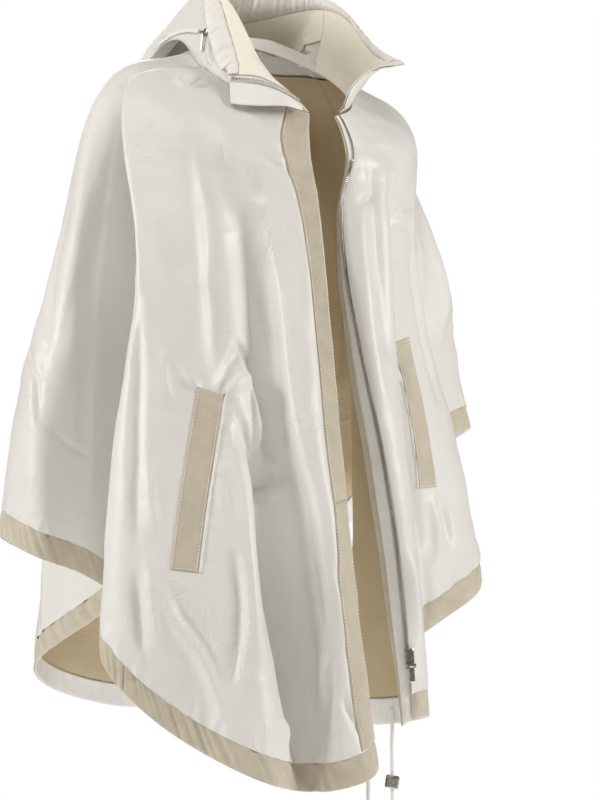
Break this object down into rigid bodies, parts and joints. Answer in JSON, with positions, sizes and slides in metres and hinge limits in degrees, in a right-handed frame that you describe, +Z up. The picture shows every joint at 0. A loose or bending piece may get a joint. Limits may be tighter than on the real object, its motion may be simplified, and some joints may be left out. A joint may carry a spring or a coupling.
{
  "type": "hooded cape",
  "caption": "Light hooded cape worn open, with suede-trimmed hem, placket and pocket welts, lining, stand-away hood, metal zips and drawcords.",
  "frame": {"origin": "middle of the neck opening at the height of the shoulders, where the wearer's shoulders and neck carry the cape", "axes": "+Z up, the wearer faces -Y, +X is the wearer's left"},
  "size_m": [0.6387, 0.6202, 0.9044],
  "materials": {
    "shell": "ivory satin technical cloth",
    "suede": "beige suede-like cloth",
    "lining": "golden tan satin lining",
    "white_tape": "white matt tape",
    "cord": "white braided cord",
    "nickel": "satin nickel"
  },
  "bodies": {
    "cape": {"back": "shell", "back_binding": "suede", "back_hem_facing": "white_tape", "back_lining": "lining", "cord_lock": "nickel", "hood_channel": "white_tape", "hood_facing_back": "suede", "hood_facing_left": "suede", "hood_facing_right": "suede", "hood_shell": "shell", "hood_zip_chain": "nickel", "hood_zip_slider": "nickel", "left_collar_strip": "white_tape", "left_drawcord": "cord", "left_facing": "suede", "left_front": "shell", "left_front_binding": "suede", "left_front_hem_facing": "white_tape", "left_front_lining": "lining", "left_pocket_edge": "shell", "left_pocket_welt": "suede", "left_zip_chain": "nickel", "left_zip_guard": "white_tape", "left_zip_slider": "nickel", "left_zip_tape": "white_tape", "right_collar_tab": "white_tape", "right_collar_zip": "nickel", "right_drawcord": "cord", "right_front": "shell", "right_front_binding": "suede", "right_placket_lower": "suede", "right_placket_upper": "suede", "right_pocket_edge": "shell", "right_pocket_welt": "suede", "right_side_binding": "suede"},
    "zip_pull": {"left_zip_pull": "nickel"},
    "hood_pull": {"hood_zip_pull": "nickel"}
  },
  "joints": [
    {"name": "zip_pull_hinge", "type": "hinge", "parent": "cape", "child": "zip_pull", "pos_m": [0.02473, -0.22103, -0.6223], "axis": [-0.9349, 0.3481, -0.0697], "range_deg": [-15, 165]},
    {"name": "hood_pull_hinge", "type": "hinge", "parent": "cape", "child": "hood_pull", "pos_m": [-0.08042, 0.00504, 0.0365], "axis": [-0.2581, 0.9661, 0], "range_deg": [0, 150]}
  ]
}
